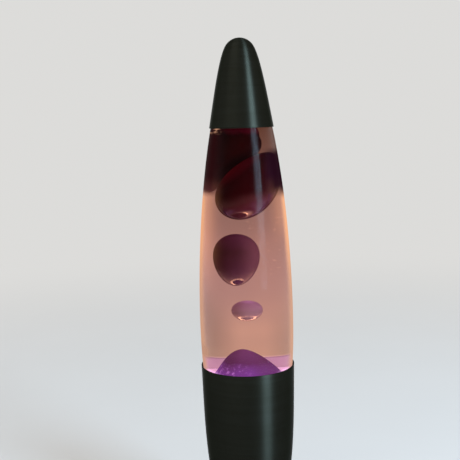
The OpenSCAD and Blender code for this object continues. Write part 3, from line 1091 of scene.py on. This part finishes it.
@dataclass
class SpunCap:
    """The bullet-shaped cap over the bottle's closure."""

    sizes: LampSizes
    metal: Material
    nose_r: float = 11.3
    nose_turn: float = 62.0
    taper: float = 9.9
    nose_pull: float = 9.0
    rim_pull: float = 28.0

    def outline(self) -> list[Point]:
        """Draws the cap's outer face.

        Returns:
            The outline from its tip to its rim.
        """
        s = self.sizes
        turn, taper = math.radians(self.nose_turn), math.radians(self.taper)
        nose = arc((0.0, s.overall_h - self.nose_r), self.nose_r, 90, 90 - self.nose_turn, 20)
        nose[0] = (0.0, s.overall_h)
        leave = (self.nose_pull * math.cos(turn), -self.nose_pull * math.sin(turn))
        arrive = (-self.rim_pull * math.tan(taper), self.rim_pull)
        return nose + bezier(nose[-1], leave, arrive, (s.cap_r, s.cap_z), 32)[1:]

    def build(self) -> None:
        """Builds the cap with its rolled rim and inner face."""
        s = self.sizes
        outer = self.outline()
        rim = arc((s.cap_r - s.sheet / 2, s.cap_z), s.sheet / 2, 0, -180, ROLL_STEPS)
        inner = inset(outer, s.sheet)[::-1]
        inner[-1] = (0.0, s.overall_h - s.sheet)
        cap = spun("spun_cap", outer[:-1] + rim + inner[1:], s.spin_steps)
        smooth(cap)
        present(cap, self.metal, Body.CAP, Slot.SPUN_METAL, "cap_shell")


@dataclass
class SpunBase:
    """The cup that the bottle stands in and the flared foot under it."""

    sizes: LampSizes
    metal: Material
    waist_r: float = 26.0
    waist_h: float = 39.0
    foot_r: float = 49.0
    table_gap: float = 1.2
    skirt_h: float = 14.0
    skirt_slope: float = 12.3
    fold_size: Point = (2.4, 2.0)
    fold_lean: float = 0.4
    fold_pull: float = 1.4
    cup_pulls: Pulls = ((-0.8, -31.0), (6.8, 30.0))
    flare_pulls: Pulls = ((1.8, -9.0), (-9.9, 2.2))
    brow_size: Point = (2.6, 1.4)
    brow_drop: float = 0.6
    brow_pulls: Pulls = ((1.4, -0.3), (-0.3, 1.2))
    tube_hole: float = 5.1
    inlet_z: float = 9.2
    inlet_r: float = 4.6
    inlet_span: Point = (-20.0, 10.0)

    def fold(self, side: int) -> list[Point]:
        """Draws the bend at the waist from the wall inwards.

        Args:
            side: 1 for the bend over the waist, -1 for the one under it.

        Returns:
            The outline.
        """
        start = (self.waist_r, self.waist_h + self.fold_size[1] * side)
        end = (self.waist_r - self.fold_size[0], self.waist_h)
        leave = (-self.fold_lean, -self.fold_pull * side)
        return bezier(start, leave, (self.fold_pull, 0), end, ROLL_STEPS)

    def cup_outline(self) -> list[Point]:
        """Draws the cup's outer face.

        Returns:
            The outline from its rim to the hole in its floor.
        """
        fold = self.fold(1)
        side = bezier((self.sizes.cup_r, self.sizes.rim_z), *self.cup_pulls, fold[0], 40)
        return side + fold[1:] + [(self.tube_hole, self.waist_h)]

    def foot_outline(self) -> list[Point]:
        """Draws the foot's outer face.

        Returns:
            The outline from the hole in its flange to its edge.
        """
        top = self.table_gap + self.skirt_h
        top_r = self.foot_r - self.skirt_h * math.tan(math.radians(self.skirt_slope))
        fold = self.fold(-1)[::-1]
        bend = (top_r - self.brow_size[0], top + self.brow_size[1])
        flare = bezier(fold[-1], *self.flare_pulls, bend, 28)
        brow = bezier(bend, *self.brow_pulls, (top_r, top - self.brow_drop), ROLL_STEPS)
        edge = (self.foot_r, self.table_gap)
        return [(self.tube_hole, self.waist_h), *fold, *flare[1:], *brow[1:], edge]

    def build(self) -> None:
        """Builds the cup and the foot."""
        s = self.sizes
        outer = self.cup_outline()
        rim = arc((s.cup_r - s.sheet / 2, s.rim_z), s.sheet / 2, 180, 0, ROLL_STEPS)
        inner = inset(outer, s.sheet)
        inner[-1] = (self.tube_hole, inner[-1][1])
        cup = spun("spun_cup", rim + outer[1:] + inner[:0:-1], s.spin_steps, closed=True)
        smooth(cup)
        present(cup, self.metal, Body.BASE, Slot.SPUN_METAL, "upper_cup")
        outer = self.foot_outline()
        edge = arc((self.foot_r - s.sheet / 2, self.table_gap), s.sheet / 2, 0, -180, ROLL_STEPS)
        inner = inset(outer, s.sheet)
        inner[0] = (self.tube_hole, inner[0][1])
        foot = spun("spun_foot", outer[:-1] + edge + inner[-2::-1], s.spin_steps, closed=True)
        near, far = ((0, self.foot_r + shift, self.inlet_z) for shift in self.inlet_span)
        drill(foot, self.inlet_r, near, far)
        smooth(foot)
        present(foot, self.metal, Body.BASE, Slot.SPUN_METAL, "foot_cone")


@dataclass
class Bottle:
    """The blown bottle with the liquid in it."""

    sizes: LampSizes
    glass: Material
    globe_r: float = 33.2
    belly_rise: float = 31.6
    sink: float = 17.4
    wall: float = 2.5
    neck_r: float = 12.2
    stand_r: float = 22.0
    lip_z: float = 338.75
    lip_round: float = 0.5
    lip_bevel: float = 0.6
    fill_rise: float = 14.0
    meniscus_h: float = 1.2
    meniscus: Pulls = ((-2.2, 0.0), (-0.8, 0.3))
    bead_r: float = 1.1
    ring_drops: Point = (1.6, 3.0)
    groove_drops: Point = (5.2, 6.8)
    carrier_drop: float = 8.2
    carrier_sink: float = 0.2
    throat_slope: float = 11.2
    neck_rise: float = 21.0
    side_pull: float = 0.31
    heel_rise: float = 2.0
    stand_width: float = 3.0
    push_up: float = 2.5
    neck_pull: float = 11.0
    throat_pull: float = 8.0
    low_pulls: Pulls = ((0.0, -10.0), (0.6, 9.0))
    heel_pulls: Pulls = ((-0.45, -6.0), (7.5, 0.0))
    floor_pulls: Pulls = ((-5.0, 0.0), (6.0, 0.0))

    def body_outline(self) -> list[Point]:
        """Draws the outer face below the neck.

        Returns:
            The outline from the neck down to the middle of the floor.
        """
        s = self.sizes
        slope = math.tan(math.radians(self.throat_slope))
        floor_z = s.rim_z - self.sink
        neck = (self.neck_r, s.cap_z + self.neck_rise)
        throat = (s.cap_r - s.sheet - s.fit_gap, s.cap_z)
        belly = (self.globe_r, s.rim_z + self.belly_rise)
        heel = (s.cup_r - s.sheet - s.fit_gap, s.rim_z + self.heel_rise)
        stand = (self.stand_r, floor_z)
        step = (self.stand_r - self.stand_width, floor_z)
        reach = self.side_pull * (throat[1] - belly[1])
        shoulder = bezier(
            neck, (0, -self.neck_pull), (-self.throat_pull * slope, self.throat_pull), throat, 24)
        side = bezier(throat, (reach * slope, -reach), (0, reach), belly, 48)
        low = bezier(belly, *self.low_pulls, heel, 16)
        turn = bezier(heel, *self.heel_pulls, stand, 24)
        floor = bezier(step, *self.floor_pulls, (0, floor_z + self.push_up), 16)
        return shoulder + side[1:] + low[1:] + turn[1:] + floor

    def neck_outline(self) -> list[Point]:
        """Draws the neck's outer face with its locking ring and carrying bead.

        Returns:
            The outline from the lip down.
        """
        top, r, bead = self.lip_z, self.neck_r, self.bead_r
        high, low = ((r, top - drop) for drop in self.ring_drops)
        lip = [(r - self.lip_round, top), (r, top - self.lip_round / 2)]
        ring = arc(high, bead, 80, 0, 6) + arc(low, bead, 0, -80, 6)
        groove = [(r, top - drop) for drop in self.groove_drops]
        return lip + ring + groove + arc((r - self.carrier_sink, top - self.carrier_drop), bead, 75, -75, 10)

    def build(self) -> None:
        """Builds bottle and liquid as one clear body, open down the neck to the liquid."""
        s = self.sizes
        body = self.body_outline()
        fill_z = s.cap_z + self.fill_rise
        bore_r = self.neck_r - self.wall
        inner = [p for p in inset(body, self.wall) if p[1] > fill_z + self.meniscus_h]
        surface = [(0.0, fill_z)] + [(inner[-1][0] + out, fill_z + up) for out, up in self.meniscus]
        bore = inner[::-1] + [(bore_r, self.lip_z - self.lip_bevel), (bore_r + self.lip_bevel, self.lip_z)]
        bottle = spun("filled_bottle", surface + bore + self.neck_outline() + body, s.spin_steps)
        smooth(bottle, angle=55)
        present(bottle, self.glass, Body.GLOBE, Slot.BOTTLE_GLASS, "globe_glass", "clear_liquid")


@dataclass(frozen=True)
class Blob:
    """One body of wax: its middle, half sizes, fullness and tilt."""

    name: str
    place: Place
    half_width: float
    half_height: float
    fullness: float
    tilt: float

    def build(self) -> Piece:
        """Builds the blob.

        Returns:
            The blob.
        """
        outline = egg(self.half_width, self.half_height, self.fullness, 40)
        outline[0], outline[-1] = (0.0, outline[0][1]), (0.0, outline[-1][1])
        piece = spun(self.name, outline, 72)
        pick(piece)
        piece.rotation_euler = (0, math.radians(self.tilt), 0)
        piece.location = [value * MM for value in self.place]
        bpy.ops.object.transform_apply(location=True, rotation=True, scale=True)
        return piece


@dataclass
class WaxColumn:
    """The wax: the lit pool and mound, three free blobs and the mass under the cap."""

    sizes: LampSizes
    bottle: Bottle
    small: Blob = Blob("wax_small", (0.32, -5.01, 179.81), 8.55, 7.01, 0.02, 0.0)
    middle: Blob = Blob("wax_middle", (-5.05, -5.99, 215.71), 12.95, 17.98, 0.14, 1.5)
    upper: Blob = Blob("wax_upper", (4.34, -2.31, 266.35), 15.36, 25.02, -0.145, 31.8)
    lobe: Blob = Blob("wax_top", (-8.6, 12.89, 279.9), 6.8, 22.9, 0.21, 18.96)
    back: Blob = Blob("wax_back", (1.9, 13.75, 289.0), 6.2, 12.2, 0.02, 20.4)
    gather: Blob = Blob("wax_gather", (-3.92, 6.96, 296.4), 10.92, 15.47, 0.25, 18.3)
    # The ramps' top stop paints a lilac highlight along the blob's top edge.
    mauve: Wax = Wax(
        "mauve_wax", 172.8, 186.8,
        ((0.0, (0.21, 0.12, 0.140)), (0.5, (0.175, 0.099, 0.122)), (0.9, (0.205, 0.095, 0.155)),
         (1.0, (0.32, 0.15, 0.29))),
        ((0.0, (0.21, 0.12, 0.145)), (0.5, (0.170, 0.099, 0.120)), (0.9, (0.195, 0.092, 0.145)),
         (1.0, (0.32, 0.15, 0.29))),
    )
    wine: Wax = Wax(
        "wine_wax", 197.7, 233.7,
        ((0.0, (0.100, 0.036, 0.070)), (0.25, (0.072, 0.022, 0.042)), (0.7, (0.045, 0.013, 0.017)),
         (1.0, (0.085, 0.024, 0.050))),
        ((0.0, (0.050, 0.018, 0.038)), (0.3, (0.027, 0.007, 0.010)), (0.7, (0.022, 0.0045, 0.007)),
         (1.0, (0.045, 0.008, 0.020))),
        side_shading=(0.155, 0.055, 0.072), side_shading_x=(-7.0, 10.0),
    )
    dark: Wax = Wax(
        "dark_wax", 243.2, 288.7,
        ((0.0, (0.100, 0.026, 0.044)), (0.2, (0.080, 0.011, 0.017)), (0.42, (0.030, 0.0010, 0.002)),
         (1.0, (0.030, 0.0006, 0.002))),
        ((0.0, (0.038, 0.009, 0.012)), (0.25, (0.020, 0.003, 0.003)), (0.45, (0.005, 0.0002, 0.0004)),
         (1.0, (0.003, 0.0001, 0.0003))),
        lean=-0.25, coat_ior=1.6, side_shading=(0.034, 0.003, 0.022), side_shading_x=(11.0, 19.0),
        lit_edge=(0.290, 0.0010, 0.022), lit_edge_z=(274.0, 289.0),
    )
    # Near the top both ramps paint a crimson band under the cap: a painted reflection of the wax in the
    # liquid's top surface.
    deep: Wax = Wax(
        "deep_wax", 259.0, 309.0,
        ((0.0, (0.130, 0.040, 0.062)), (0.12, (0.085, 0.022, 0.034)), (0.35, (0.034, 0.003, 0.004)),
         (0.85, (0.026, 0.001, 0.001)), (0.89, (0.095, 0.002, 0.016)), (1.0, (0.105, 0.002, 0.018))),
        ((0.0, (0.030, 0.008, 0.014)), (0.3, (0.002, 0.0002, 0.0003)), (0.85, (0.001, 0.0001, 0.0001)),
         (0.89, (0.030, 0.0006, 0.005)), (1.0, (0.036, 0.0006, 0.006))),
    )
    pool_drop: float = 6.7
    pool_edge: Pulls = ((-1.0, 0.0), (-0.2, 0.25))
    edge_drop: float = 0.2
    mound_h: float = 19.8
    mound_r: float = 17.8
    foot_r: float = 21.5
    foot_pulls: Pulls = ((1.869, -3.772), (-2.5, 0.0))
    apex_shift: float = -2.6
    apex_reach: float = 26.0
    dome_power: float = 1.82
    dome_steps: int = 40
    dome_end: int = 35
    ripple_size: float = 16.0
    ripple_depth: float = 0.2
    mass_voxel: float = 1.4

    def mound(self) -> None:
        """Builds the pool with its mound."""
        s = self.sizes
        pool_z = s.rim_z - self.pool_drop
        wall = inset(self.bottle.body_outline(), self.bottle.wall + s.seat_gap)
        below = [p for p in wall if p[1] < pool_z - self.edge_drop]
        shares = [step / self.dome_steps for step in range(self.dome_end + 1)]
        dome = [(self.mound_r * t, pool_z + self.mound_h * (1 - t ** self.dome_power)) for t in shares]
        swell = dome + bezier(dome[-1], *self.foot_pulls, (self.foot_r, pool_z), 12)[1:]
        edge = [(below[0][0] + out, pool_z + up) for out, up in self.pool_edge]
        piece = spun("wax_pool", swell + edge + below[:-1] + [(0.0, below[-1][1])], 96)
        draw(piece, (0.0, 0.0, pool_z + self.mound_h), (self.apex_shift, 0.0, 0.0), self.apex_reach)
        smooth(piece, angle=60)
        finish = PoolWax(pool_z=pool_z, top_z=pool_z + self.mound_h, mound_r=self.mound_r).build()
        present(piece, finish, Body.GLOBE, Slot.WAX_VIOLET, "wax_mound")

    def free_blob(self, blob: Blob, finish: Wax, body: Body, slot: Slot, node: str) -> None:
        """Builds one free blob.

        Args:
            blob: Its form.
            finish: Its wax.
            body: Body that it rides on.
            slot: The record's slot.
            node: CAD node that it stands for.
        """
        piece = blob.build()
        cloud = bpy.data.textures.new(piece.name + "_swell", "CLOUDS")
        cloud.noise_scale = self.ripple_size * MM
        cloud.noise_depth = 1
        modify(piece, "DISPLACE", texture=cloud, strength=self.ripple_depth * MM, texture_coords="GLOBAL")
        smooth(piece, angle=80)
        present(piece, finish.build(), body, slot, node)

    def top_mass(self) -> None:
        """Builds the mass under the cap from its three lobes, run together."""
        piece = joined("wax_top", [self.lobe.build(), self.back.build(), self.gather.build()])
        modify(piece, "REMESH", mode="VOXEL", voxel_size=self.mass_voxel * MM)
        modify(piece, "SMOOTH", factor=0.5, iterations=40)
        modify(piece, "SUBSURF", levels=1)
        smooth(piece, angle=80)
        present(piece, self.deep.build(), Body.GLOBE, Slot.WAX_DARK, "wax_top_mass")

    def build(self) -> None:
        """Builds all the wax."""
        self.mound()
        self.free_blob(self.small, self.mauve, Body.SMALL_BLOB, Slot.WAX_MAUVE, "wax_small_blob")
        self.free_blob(self.middle, self.wine, Body.MIDDLE_BLOB, Slot.WAX_WINE, "wax_middle_blob")
        self.free_blob(self.upper, self.dark, Body.UPPER_BLOB, Slot.WAX_DARK, "wax_upper_blob")
        self.top_mass()


@dataclass
class WireCoil:
    """The closed coil that lies in the wax on the bottle's floor."""

    metal: Material
    ring_r: float = 20.0
    curl_r: float = 2.6
    wire_r: float = 0.45
    curls: int = 36
    coil_z: float = 128.15
    points_per_curl: int = 20

    def point(self, share: float) -> Vector:
        """A point on the wire's middle line.

        Args:
            share: How far round the ring, from 0 to 1.

        Returns:
            The point in metres.
        """
        turn = FULL_TURN * share
        curl = turn * self.curls
        radius = self.ring_r + self.curl_r * math.cos(curl)
        height = self.coil_z + self.curl_r * math.sin(curl)
        return Vector((radius * math.cos(turn), radius * math.sin(turn), height)) * MM

    def build(self) -> None:
        """Builds the coil."""
        clear()
        bpy.ops.curve.primitive_nurbs_path_add()
        coil = named("wire_coil_wound")
        coil.data.splines.clear()
        count = self.curls * self.points_per_curl
        line = coil.data.splines.new("POLY")
        line.points.add(count - 1)
        for index, point in enumerate(line.points):
            point.co = (*self.point(index / count), 1.0)
        line.use_cyclic_u = True
        coil.data.bevel_depth = self.wire_r * MM
        coil.data.bevel_resolution = 2
        pick(coil)
        bpy.ops.object.convert(target="MESH")
        coil = bpy.context.view_layer.objects.active
        smooth(coil, angle=60)
        present(coil, self.metal, Body.GLOBE, Slot.COIL_WIRE, "wire_coil")


@dataclass
class Fittings:
    """Finishes of the closure, bulb, holder and underside, and the CAD nodes that keep their shapes."""

    table: tuple[tuple[Finish, tuple[str, ...]], ...] = (
        (BareMetal("crown_finish", (0.62, 0.50, 0.27), (0.45, 0.34, 0.17), rough=0.28, scale=320.0),
         ("crown_cap",)),
        (Moulded("seal_finish", (0.50, 0.47, 0.40), (0.60, 0.57, 0.50), rough=0.6), ("crown_liner",)),
        (BareMetal("pressed_steel_finish", (0.42, 0.43, 0.42), (0.28, 0.28, 0.27), rough=0.36),
         ("seat_ring", "lock_washer")),
        (BareMetal("brass_finish", (0.66, 0.46, 0.18), (0.42, 0.27, 0.10), rough=0.30),
         ("threaded_nipple", "nipple_nut", "socket_screw_shell", "socket_contact", "terminal_screws")),
        (Moulded("holder_finish", (0.020, 0.018, 0.016), (0.035, 0.032, 0.030), rough=0.35),
         ("socket_body",)),
        (Moulded("cover_finish", (0.014, 0.014, 0.015), (0.030, 0.030, 0.030), rough=0.5), ("bottom_cover",)),
        (Moulded("rubber_finish", (0.011, 0.011, 0.011), (0.028, 0.027, 0.026), rough=0.72, grain=1400.0),
         ("rubber_feet",)),
        (Moulded("bushing_finish", (0.010, 0.010, 0.010), (0.022, 0.022, 0.022), rough=0.55),
         ("cord_bushing",)),
        (LitGlass(), ("bulb_envelope", "bulb_stem")),
        (BareMetal("filament_finish", (0.36, 0.34, 0.31), (0.22, 0.20, 0.18), rough=0.45, scale=800.0),
         ("bulb_filament",)),
        (BareMetal("bulb_metal_finish", (0.60, 0.60, 0.58), (0.40, 0.39, 0.36), rough=0.30),
         ("bulb_cap", "bulb_tip")),
        (Moulded("insulation_finish", (0.02, 0.02, 0.024), (0.05, 0.05, 0.055), rough=0.25),
         ("bulb_insulator",)),
    )

    def dress(self) -> None:
        """Dresses the CAD nodes."""
        for finish, nodes in self.table:
            material = finish.build()
            for name in nodes:
                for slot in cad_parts[name].material_slots:
                    slot.material = material
                LOG.info("%s: CAD shape, finish %s", name, material.name)


# Studio


@dataclass
class Studio:
    """Floor, lamps, backdrop and camera; floor and lamps are set in metres, the camera in millimetres."""

    backdrop: Colour = (0.72, 0.715, 0.70)
    fill: float = 0.70
    focal_px: float = 848.0
    image_px: float = 460.0
    eye: Place = (-10.0, -592.0, 317.6)
    pitch: float = 7.9
    roll: float = -1.7
    sensor: float = 36.0
    floor_r: float = 6.0
    pale: Colour = (0.70, 0.695, 0.68)
    paler: Colour = (0.74, 0.735, 0.72)
    strip_turn: float = 44.0
    strip_away: float = 1.3
    strip_z: float = 0.36
    aim_z: float = 0.22

    def floor(self) -> None:
        """Lays a pale floor that runs into the backdrop's colour."""
        clear()
        bpy.ops.mesh.primitive_circle_add(vertices=96, radius=self.floor_r, fill_type="NGON")
        floor = named("studio_floor")
        g = Graph.material("studio_floor_finish")
        place, x, y, _ = g.spot
        far = x.hypot(y).ease(0.35, 1.3) * g.ray(*SEEN_RAYS)
        cloudy = g.mix(g.noise(place, scale=6.0, detail=3.0), self.pale, self.paler)
        near = g.surface(Base_Color=cloudy, Roughness=0.85)
        beyond = g.sock("ShaderNodeEmission", {"Color": self.backdrop, "Strength": 1.0})
        floor.data.materials.append(g.done(g.sock("ShaderNodeMixShader", {0: far, 1: near, 2: beyond})))

    def world(self) -> None:
        """Sets a pale backdrop and a plain even fill."""
        world = bpy.data.worlds.new("studio_world")
        bpy.context.scene.world = world
        g = Graph(world, "ShaderNodeOutputWorld")
        seen = g.sock("ShaderNodeBackground", {"Color": self.backdrop, "Strength": 1.0})
        even = g.sock("ShaderNodeBackground", {"Color": (1.0, 1.0, 1.0), "Strength": self.fill})
        g.done(g.sock("ShaderNodeMixShader", {0: g.ray(*SEEN_RAYS), 1: even, 2: seen}))

    def lamp(self, name: str, watts: float, size: Point, place: Place, colour: Colour) -> None:
        """Adds a soft lamp that faces the object.

        Args:
            name: Its name.
            watts: Its power.
            size: Width and height in metres.
            place: Where it stands, in metres.
            colour: Its colour.
        """
        clear()
        bpy.ops.object.light_add(type="AREA", location=place)
        light = bpy.context.view_layer.objects.active
        light.name = name
        light.data.shape = "RECTANGLE"
        light.data.size, light.data.size_y = size
        light.data.energy = watts
        light.data.color = colour
        light.visible_transmission = False
        aim = Vector((0, 0, self.aim_z)) - Vector(place)
        light.rotation_euler = aim.to_track_quat("-Z", "Y").to_euler()

    def lights(self) -> None:
        """Adds a strip at the right, and a wide soft lamp above on the left."""
        turn = math.radians(self.strip_turn)
        place = (self.strip_away * math.sin(turn), -self.strip_away * math.cos(turn), self.strip_z)
        self.lamp("strip", watts=35.0, size=(0.43, 1.1), place=place, colour=(0.56, 0.78, 1.0))
        self.lamp("overhead", watts=7.0, size=(1.6, 1.6), place=(-0.9, -0.9, 1.9), colour=(1.0, 0.98, 0.95))

    def camera(self) -> None:
        """Sets the camera at the photograph's angle."""
        clear()
        bpy.ops.object.camera_add(location=[value * MM for value in self.eye])
        camera = bpy.context.view_layer.objects.active
        camera.name = "studio_camera"
        tip = Matrix.Rotation(math.radians(90 - self.pitch), 3, "X")
        camera.rotation_euler = (tip @ Matrix.Rotation(math.radians(self.roll), 3, "Z")).to_euler()
        camera.data.sensor_width = self.sensor
        camera.data.lens = self.focal_px / self.image_px * self.sensor
        camera.data.clip_start = 0.01
        camera.data.dof.use_dof = False
        bpy.context.scene.camera = camera

    def build(self) -> None:
        """Builds the whole studio."""
        self.floor()
        self.world()
        self.lights()
        self.camera()
        bpy.context.scene.view_settings.view_transform = "Standard"
        LOG.info("studio: floor, world, lamps and camera")


def main() -> None:
    """Builds the lamp's sub-assemblies in order, then the studio."""
    logging.basicConfig(level=logging.INFO, format="%(name)s: %(message)s")
    sizes = LampSizes()
    metal = SpunMetal().build()
    SpunCap(sizes, metal).build()
    SpunBase(sizes, metal).build()
    bottle = Bottle(sizes, FilledGlass().build())
    bottle.build()
    WaxColumn(sizes, bottle).build()
    WireCoil(BareMetal("coil_wire_finish", (0.55, 0.55, 0.53), (0.35, 0.35, 0.33)).build()).build()
    Fittings().dress()
    Studio().build()


if __name__ == "__main__":
    main()
